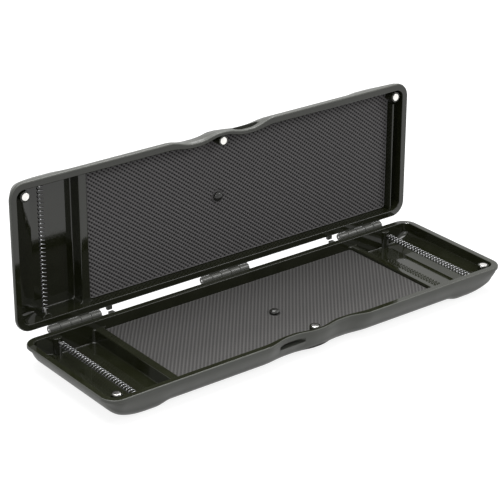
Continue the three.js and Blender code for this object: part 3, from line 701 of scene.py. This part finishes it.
def tray_mesh(name, bays, spring_xs, first_knuckle, rib):
    """One tray as a single closed mesh in its own frame."""
    shell = paint(outer.copy(), SATIN)

    def change(kind, what, body, slot):
        return combine(kind, shell, paint(mesh_of(what, body), slot))

    for k, bay in enumerate(bays):
        shell = change("DIFFERENCE", "bay", bay_body(bay, HAIR * (k % 2)), GLOSS)
    inside = [post(*place) for place in MAGNETS.values()] + [column(x) for x in spring_xs]
    for body in inside + ([rib_body()] if rib else []):
        core = paint(mesh_of("core", lower_core()), GLOSS)
        shell = combine("UNION", shell,
                        combine("INTERSECT", paint(mesh_of("part", body), GLOSS), core))
    for x in HINGE_XS.values():
        shell = change("UNION", "edge", hinge_edge(x), SATIN)
        for k in range(first_knuckle, KNUCKLE_COUNT, 2):
            for body in knuckle(x + (k - (KNUCKLE_COUNT - 1) / 2) * KNUCKLE_PITCH):
                shell = change("UNION", "knuckle", body, BARREL)
    for x in (-STOP_X, STOP_X):
        shell = change("UNION", "stop", stop_body(x), SATIN)
    for x in HINGE_XS.values():
        bore = turned([(BORE_RADIUS, -BORE_HALF), (BORE_RADIUS, BORE_HALF)], (x, AXIS_Y, AXIS_Z),
                      PIN_SIDES, "x")
        shell = change("DIFFERENCE", "bore", bore, SATIN)
    shell.name = name
    return shell


base_mesh = tray_mesh("base_tray", BASE_BAYS, (-SPRING_X, SPRING_X), 0, False)
lid_mesh = tray_mesh("lid_tray", LID_BAYS, (SPRING_X,), 1, True)
print("trays:", len(base_mesh.polygons), "and", len(lid_mesh.polygons), "faces")

# %% [markdown]
# A moulded surface has soft light across its rounds and hard lines at its edges, so faces are
# smooth except where they meet at a clear angle. The crease between a scoop and the floor is too
# flat for that rule, and is marked from its place. A bevel on all edges would need far more faces.

# %% Finishing the trays
TOP_BAND, UPRIGHT, CREASE_Z, CREASE_X, FACE_WEIGHT = 0.05, 0.9, 0.02, 0.05, 80


def finish_shell(mesh, place):
    """Gives the rim's top the gloss slot, puts the tray in its place, and sets smooth faces with
    sharp edges, also where a scoop meets the floor."""
    count = len(mesh.polygons)
    normals, centres = np.zeros(3 * count, np.float32), np.zeros(3 * count, np.float32)
    slots = np.zeros(count, np.int32)
    mesh.polygons.foreach_get("normal", normals)
    mesh.polygons.foreach_get("center", centres)
    mesh.polygons.foreach_get("material_index", slots)
    rim_top = (centres[2::3] > -TOP_BAND) & (normals[2::3] > UPRIGHT)
    slots[rim_top & (np.abs(centres[1::3]) < RIM_Y)] = GLOSS
    mesh.polygons.foreach_set("material_index", slots)
    x, _, z = points_of(mesh).T
    creased = np.abs(z + FLOOR_DEPTH) < CREASE_Z
    creased &= np.abs(np.abs(x) - inner_end(FLOOR_DEPTH)) < CREASE_X
    settle(mesh, place)
    shade(mesh, SHARP_ANGLE)
    pairs, sharp = np.zeros(2 * len(mesh.edges), np.int32), np.zeros(len(mesh.edges), bool)
    mesh.edges.foreach_get("vertices", pairs)
    kept = mesh.attributes["sharp_edge"].data
    kept.foreach_get("value", sharp)
    kept.foreach_set("value", sharp | creased[pairs.reshape(-1, 2)].all(axis=1))
    return mesh


base_tray = show("base_tray", finish_shell(base_mesh, place_base))
lid_tray = show("lid_tray", finish_shell(lid_mesh, place_lid))
for tray, body in ((base_tray, "base"), (lid_tray, "lid")):
    weights = tray.modifiers.new("level_faces", "WEIGHTED_NORMAL")
    weights.keep_sharp, weights.weight = True, FACE_WEIGHT
    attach(tray, body)
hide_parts("base_shell")
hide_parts("lid_shell")
slots = [face.material_index for face in base_tray.data.polygons]
print("the base's faces by slot:", np.bincount(slots))

# %% [markdown]
# A foam board is a sheet whose top is cut into rows of small pads. Its top is a height over a
# grid: long ridges side by side, and pits along the grooves between them where a second set of
# rows crosses. A bump in the material could show it, but then the pads wouldn't be in the mesh.
# The same shape is kept on the mesh as an attribute, so the material can paint shade into the
# grooves and pits.

# %% The shape of a foam board
FOAM_TOP, FOAM_BOTTOM, FOAM_ROUND = 8.2, 16.0, 0.8
RIDGE_PITCH, RIDGE_HEIGHT, PIT_DEPTH = 2.63, 0.6, 0.3
STUD_PLACE = (0.0, -1.3)
STUD_RADIUS, STUD_TOP = 4.0, 5.5
DIMPLE_DEPTH, DIMPLE_INNER, DIMPLE_RUN, CALM_RUN = 1.3, 0.6, 3.4, 1.2
EDGE_SHARES = (0, 0.15, 0.4, 0.7, 1.0)
# The sides of a board get a low kept level, so the material paints shade on them too.
SIDE_SHADE_LEVEL = 0.35


def row_wave(x, y, degrees):
    """A cosine across rows that run at an angle to x: 1 along their crests, -1 between them."""
    angle = math.radians(degrees)
    return np.cos(2 * np.pi * (y * math.cos(angle) - x * math.sin(angle)) / RIDGE_PITCH)


def spaced(low, high, step):
    """Samples from low to high, with a few more close to each end, where the edge is rounded."""
    near = np.array(EDGE_SHARES) * FOAM_ROUND
    middle = np.arange(low + FOAM_ROUND + step, high - FOAM_ROUND - step / 2, step)
    return np.concatenate([low + near, middle, high - near[::-1]])


def foam_body(left, right, rows, cross, step):
    """A board between two x places, with the shape of the floor of its bay. Grid lines run from
    the front edge, which follows the scallops, to the back edge, and the corners are rounded. The
    height is the crest less the ridge height times (1 - wave) / 2, with pits only in the grooves.
    Cross is the share of the kept level that the pits take."""
    side = INNER_Y - DRAFT * FOAM_TOP - GAP
    xs = spaced(left, right, step)
    near_end = np.minimum(xs - left, right - xs)
    corner = quarter(BAY_CORNER, near_end)
    front = -side + wave_dip(xs, INNER_WAVE) + corner
    back = side - corner
    v = (spaced(-side, side, step) + side) / (2 * side)
    y = front[:, None] + (back - front)[:, None] * v[None]
    x = np.broadcast_to(xs[:, None], y.shape)
    from_edge = np.minimum(near_end[:, None], np.minimum(y - front[:, None], back[:, None] - y))
    drop = quarter(FOAM_ROUND, from_edge)
    stud_far = np.hypot(x - STUD_PLACE[0], y - STUD_PLACE[1])
    dimple = DIMPLE_DEPTH * (1 - ease((stud_far - STUD_RADIUS + DIMPLE_INNER) / DIMPLE_RUN))
    calm = ease(from_edge / CALM_RUN) * ease((stud_far - STUD_RADIUS) / CALM_RUN)
    groove = calm * (1 - row_wave(x, y, rows[0])) / 2
    pit = groove * (1 - row_wave(x, y, rows[1])) / 2
    z = -FOAM_TOP - RIDGE_HEIGHT * groove - PIT_DEPTH * pit - drop - dimple
    level = 1 - (1 - cross) * groove - cross * pit
    return sheet_body(x, y, z), level


def sheet_body(x, y, z):
    """A closed body under a grid of heights: the grid, a skirt round it and a flat bottom, whose
    points come last. The bottom runs the same way round as the grid, so it faces the other way
    from the rest, and mesh_of turns the rest inwards."""
    top = np.stack([x, y, z], axis=2).reshape(-1, 3)
    k = np.arange(len(top)).reshape(x.shape)
    quads = np.stack([k[:-1, :-1], k[1:, :-1], k[1:, 1:], k[:-1, 1:]], axis=-1).reshape(-1, 4)
    rim = np.concatenate([k[:, 0], k[-1, 1:], k[-2::-1, -1], k[0, -2:0:-1]])
    low = top[rim] * (1, 1, 0) + (0, 0, -FOAM_BOTTOM)
    under = len(top) + np.arange(len(rim))
    skirt = np.stack([rim, under, np.roll(under, -1), np.roll(rim, -1)], axis=-1)
    return np.concatenate([top, low]), [*quads.tolist(), *skirt.tolist(), under.tolist()]


print("ridges", RIDGE_PITCH, "mm apart and", RIDGE_HEIGHT, "mm high")

# %% Two foam boards
BASE_ROWS, LID_ROWS = (51, -37), (-37, 48)
BASE_CROSS, LID_CROSS = 0.4, 0.62
BASE_STEP, LID_STEP = 0.52, 0.57
FOAM_ANGLE = math.radians(60)
BAY_GAP = DRAFT * (FOAM_TOP - PARTITION_TOP) + GAP


def foam_board(owner, left, right, rows, cross, step):
    """A tray's foam board, which runs into the magnet posts that stand in its bay."""
    name = f"{owner}_board"
    (points, faces), level = foam_body(left, right, rows, cross, step)
    mesh = mesh_of(name, (points, faces))
    levels = np.full(len(points), SIDE_SHADE_LEVEL, np.float32)
    levels[:level.size] = level.ravel()
    mesh.attributes.new("level", "FLOAT", "POINT").data.foreach_set("value", levels)
    settle(mesh, PLACES[owner])
    shade(mesh, FOAM_ANGLE)
    board = show(name, mesh)
    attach(board, owner)
    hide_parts(f"{owner}_foam")
    print(name, len(mesh.polygons), "faces")
    return board


base_board = foam_board("base", BAY_GAP - LEFT_WALL[1], RIGHT_WALL[1] - BAY_GAP, BASE_ROWS,
                        BASE_CROSS, BASE_STEP)
lid_board = foam_board("lid", RIB_X + RIB_THICK / 2 + GAP, LEFT_WALL[1] - BAY_GAP, LID_ROWS,
                       LID_CROSS, LID_STEP)

# %% [markdown]
# The springs are wire wound into a loose coil. A curve with a bevel could make one, but a tube
# worked out along a helix has even faces and exact ends: its rings stand square to the wire, whose
# direction is known from the helix itself.

# %% The springs
SPRING_RADIUS, WIRE_RADIUS, SPRING_TURNS = 2.4, 0.42, 31
COIL_STEPS, WIRE_SIDES = 24, 10
SPRINGS = (("base", "base_left", -SPRING_X), ("base", "base_right", SPRING_X),
           ("lid", "lid_left", SPRING_X))


def spring_body(x):
    """Wire along y: an upright ring stack that follows radius times (cos, sin) as it rises."""
    start, end = -SPRING_WALL + GAP, SPRING_REAR - GAP
    turns = np.linspace(0, SPRING_TURNS, SPRING_TURNS * COIL_STEPS + 1)
    angle = 2 * np.pi * turns
    radius = SPRING_RADIUS - WIRE_RADIUS
    rise = (end - start - 4 * WIRE_RADIUS) / SPRING_TURNS
    level = start + 2 * WIRE_RADIUS + rise * turns
    radial = np.stack([np.cos(angle), np.zeros_like(angle), np.sin(angle)], axis=1)
    centre = radial * radius + np.stack([0 * angle, level, 0 * angle], axis=1)
    along = np.stack([-np.sin(angle) * radius * 2 * np.pi, np.full_like(angle, rise),
                      np.cos(angle) * radius * 2 * np.pi], axis=1)
    along[:1], along[-1:] = (0, 1, 0), (0, 1, 0)
    tail = np.array((0, 2 * WIRE_RADIUS, 0))
    centre = np.concatenate([centre[:1] - tail, centre, centre[-1:] + tail])
    radial = np.concatenate([radial[:1], radial, radial[-1:]])
    along = np.concatenate([along[:1], along, along[-1:]])
    along /= np.linalg.norm(along, axis=1, keepdims=True)
    other = np.cross(along, radial)
    side = np.arange(WIRE_SIDES)[None, :, None] * 2 * np.pi / WIRE_SIDES
    ring = radial[:, None] * np.cos(side) + other[:, None] * np.sin(side)
    return loft(centre[:, None] + WIRE_RADIUS * ring + (x, 0, -SPRING_DEPTH))


def smooth_piece(name, body, owner, stands_for):
    """Puts a body in its place as a smooth piece that rides on a tray and stands for a node."""
    points, faces = body
    mesh = mesh_of(name, (PLACES[owner](points), faces))
    shade(mesh, SHARP_ANGLE)
    piece = show(name, mesh)
    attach(piece, owner)
    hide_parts(stands_for)
    return piece


springs = [smooth_piece(f"{name}_coil", spring_body(x), owner, f"{name}_spring")
           for owner, name, x in SPRINGS]
print("springs:", len(springs), "of", len(springs[0].data.polygons), "faces")

# %% [markdown]
# The small metal and plastic parts are all turned: magnets with a round edge, studs whose round
# heads hold the foam down, holder pins and hinge rods. Cylinders with a Bevel modifier would do as
# well, but the same lathe as before keeps their poles closed and their sizes exact.

# %% Magnets and studs
DISC_EDGE, DISC_SIDES = 0.35, 48
STUD_SHANK, HEAD_GAP, HEAD_SIDE, HEAD_EDGE, DOME_POINTS = 1.8, 0.3, 0.5, 0.2, 12
SEEN_SIDES = {"base": {"left": "left", "centre": "centre", "right": "right"},
              "lid": {"left": "right", "centre": "centre", "right": "left"}}


def stud_body():
    """A stud as one profile: its shank, the flat under its head, a short side and a dome."""
    under = -FOAM_TOP - HEAD_GAP
    start = under + HEAD_SIDE
    turn = np.linspace(0, np.pi / 2, DOME_POINTS)[:-1]
    dome = [(STUD_RADIUS * math.cos(a), start + (-STUD_TOP - start) * math.sin(a)) for a in turn]
    return turned([(ON_AXIS, -FOAM_BOTTOM), (STUD_SHANK, -FOAM_BOTTOM), (STUD_SHANK, under),
                   (STUD_RADIUS - HEAD_EDGE, under), (STUD_RADIUS, under + HEAD_EDGE), *dome,
                   (ON_AXIS, -STUD_TOP)], (*STUD_PLACE, 0), POST_SIDES)


magnets, studs = [], []
for owner, sides in SEEN_SIDES.items():
    for side, (x, y) in MAGNETS.items():
        name = f"{owner}_{sides[side]}"
        disc = rod(MAGNET_RADIUS, MAGNET_THICK, DISC_EDGE, (x, y, -MAGNET_TOP - MAGNET_THICK / 2),
                   "z", DISC_SIDES)
        magnets.append(smooth_piece(f"{name}_disc", disc, owner, f"{name}_magnet"))
    studs.append(smooth_piece(f"{owner}_stud", stud_body(), owner, f"{owner}_foam_stud"))
print("small parts:", len(magnets), "magnets and", len(studs), "studs")

# %% Pins
HOLDER_RADIUS, HOLDER_OUT, HOLDER_IN, HOLDER_EDGE, ROD_EDGE = 0.95, 3.0, 2.1, 0.3, 0.35
HOLDER_LENGTH = HOLDER_OUT + HOLDER_IN
HOLDER_YS = {"front": -SPRING_WALL - HOLDER_IN + HOLDER_LENGTH / 2,
             "rear": SPRING_REAR + HOLDER_IN - HOLDER_LENGTH / 2}

pins = []
for owner, name, x in SPRINGS:
    for end, y in HOLDER_YS.items():
        place = (x, y, -SPRING_DEPTH)
        holder = rod(HOLDER_RADIUS, HOLDER_LENGTH, HOLDER_EDGE, place, "y", PIN_SIDES)
        pins.append(smooth_piece(f"{name}_{end}_holder", holder, owner, f"{name}_spring_{end}_pin"))
for name, x in HINGE_XS.items():
    hinge_rod = rod(PIN_RADIUS, HINGE_LENGTH, ROD_EDGE, (x, AXIS_Y, AXIS_Z), "x", PIN_SIDES)
    pins.append(smooth_piece(f"{name}_hinge_rod", hinge_rod, "base", f"hinge_pin_{name}"))
print("pins:", len(pins))

# %% [markdown]
# The plastic is dark olive in three finishes. Inside it is polished like a mirror, with the slow
# waves that moulded walls have. Outside it has the fine texture of a blasted mould, which spreads
# the light, and its colour is paler than inside as painted light on the same plastic. The barrels
# are a little smoother, and their colour is paler still as a painted sheen. Painted images could
# carry this, but noise on Object coordinates needs no files and stays with the piece.

# %% Helpers for finishes
PLASTIC_IOR = 1.5


def new_surface(name):
    """A material's tree, the piece's own coordinates, and a call that closes it with a shader."""
    material, tree, output = new_material(name)

    def close(values):
        shader = node(tree, "BsdfPrincipled", values)
        tree.links.new(shader.outputs[0], output.inputs["Surface"])
        return material

    return tree, node(tree, "TexCoord").outputs["Object"], close


def noise(tree, coordinates, scale, detail):
    """A soft noise of a scale, in waves a metre."""
    values = {"Vector": coordinates, "Scale": scale, "Detail": detail}
    return node(tree, "TexNoise", values).outputs["Fac"]


def ranged(tree, value, low, high, to_low=0, to_high=1):
    """A value stretched from one range to another and held within it."""
    return node(tree, "MapRange", {"Value": value, "From Min": low, "From Max": high,
                                   "To Min": to_low, "To Max": to_high}).outputs[0]


def bumped(tree, height, strength, distance):
    """A surface direction that follows a height of a distance in metres."""
    values = {"Height": height, "Strength": strength, "Distance": distance}
    return node(tree, "Bump", values).outputs[0]


def blended(tree, share, low_colour, high_colour):
    """A mix of two colours by a share between 0 and 1."""
    mix = node(tree, "Mix", {"Factor": share}, data_type="RGBA")
    mix.inputs["A"].default_value = (*low_colour, 1)
    mix.inputs["B"].default_value = (*high_colour, 1)
    return mix.outputs["Result"]


print("index of refraction of the plastic:", PLASTIC_IOR)

# %% Plastic


def gloss_plastic(name, colour, pale, roughness, wave_height):
    """Polished plastic with slow waves in its surface and a little dust in its roughness."""
    tree, place, close = new_surface(name)
    mottle = ranged(tree, noise(tree, place, 60, 3), 0.35, 0.7)
    waves, dust = noise(tree, place, 28, 1), noise(tree, place, 900, 2)
    return close({"Base Color": blended(tree, mottle, colour, pale),
                  "Roughness": ranged(tree, dust, 0.4, 0.8, roughness, roughness + 0.05),
                  "Normal": bumped(tree, waves, 1, wave_height), "IOR": PLASTIC_IOR})


def satin_plastic(name, colour, pale, roughness, grain):
    """Textured plastic: a fine grain in its height and patches that are a little duller."""
    tree, place, close = new_surface(name)
    mottle = ranged(tree, noise(tree, place, 45, 4), 0.3, 0.75)
    fine, patches = noise(tree, place, 2600, 2), noise(tree, place, 70, 3)
    rough = ranged(tree, patches, 0.3, 0.7, roughness - 0.03, roughness + 0.04)
    return close({"Base Color": blended(tree, mottle, colour, pale), "Roughness": rough,
                  "Normal": bumped(tree, fine, 0.5, grain), "IOR": PLASTIC_IOR})


# The satin's colour is paler than the gloss's as painted light on the same plastic, and the barrels'
# paler still as a painted sheen.
outside = satin_plastic("plastic_satin_painted_light", (0.038, 0.040, 0.033), (0.044, 0.046, 0.038),
                        0.42, 0.00002)
inside = gloss_plastic("plastic_gloss", (0.0115, 0.0128, 0.0058), (0.0160, 0.0178, 0.0095),
                       0.05, 0.00002)
barrels = satin_plastic("plastic_barrel_painted_sheen", (0.085, 0.087, 0.078), (0.100, 0.102, 0.092),
                        0.20, 0.00001)
for tray in (base_tray, lid_tray):
    for slot, finish in ((SATIN, outside), (GLOSS, inside), (BARREL, barrels)):
        tray.data.materials[slot] = finish
stud_finish = gloss_plastic("stud_gloss", (0.016, 0.016, 0.014), (0.024, 0.024, 0.021),
                            0.16, 0.00001)
for piece in studs:
    piece.data.materials.append(stud_finish)
print("plastic on", len(studs) + 2, "pieces")

# %% [markdown]
# The foam is matt, and darker in its grooves, where little light gets in. Shadows alone could make
# the grooves dark, but their pits are too small for a picture of this size, so the kept level
# darkens them too. The metals are bright: nickel on the magnets, darker wire in the springs, and
# duller steel on the pins. Their fine scratches are changes in roughness rather than in colour.

# %% Foam and metal


def foam_material(name, low, high, painted_shade_below):
    """Matt foam whose colour follows the kept level of its pads, which paints shade into its
    grooves and pits, with fine open cells as a bump.
    """
    tree, place, close = new_surface(name)
    level = node(tree, "Attribute", attribute_name="level").outputs["Fac"]
    cells = node(tree, "TexVoronoi", {"Vector": place, "Scale": 2200}).outputs["Distance"]
    return close({"Base Color": blended(tree, ranged(tree, level, painted_shade_below, 0.9), low, high),
                  "Roughness": 0.9, "Normal": bumped(tree, cells, 0.6, 0.0002),
                  "Specular IOR Level": 0.25})


def metal_material(name, colour, pale, roughness, scratch_scale):
    """Bright metal with a slightly mottled colour and fine scratches in its roughness."""
    tree, place, close = new_surface(name)
    mottle = ranged(tree, noise(tree, place, 400, 3), 0.35, 0.7)
    scratches = noise(tree, place, scratch_scale, 4)
    return close({"Base Color": blended(tree, mottle, colour, pale), "Metallic": 1,
                  "Roughness": ranged(tree, scratches, 0.35, 0.7, roughness, roughness + 0.1)})


# The kept level paints shade into the grooves and pits, much darker on the lid's board than on the
# base's.
base_foam = foam_material("foam_base", (0.036, 0.035, 0.034), (0.080, 0.078, 0.076), 0.1)
lid_foam = foam_material("foam_lid", (0.010, 0.0096, 0.0096), (0.168, 0.162, 0.164), 0.3)
for board, finish in ((base_board, base_foam), (lid_board, lid_foam)):
    board.data.materials.clear()
    board.data.materials.append(finish)
nickel = metal_material("nickel_plate", (0.70, 0.69, 0.66), (0.80, 0.79, 0.76), 0.12, 1500)
wire = metal_material("spring_wire", (0.19, 0.19, 0.195), (0.27, 0.27, 0.275), 0.12, 2400)
pin_steel = metal_material("pin_steel", (0.50, 0.50, 0.49), (0.62, 0.62, 0.61), 0.24, 1800)
for pieces, finish in ((magnets, nickel), (springs, wire), (pins, pin_steel)):
    for piece in pieces:
        piece.data.materials.append(finish)
print("materials:", len(bpy.data.materials))
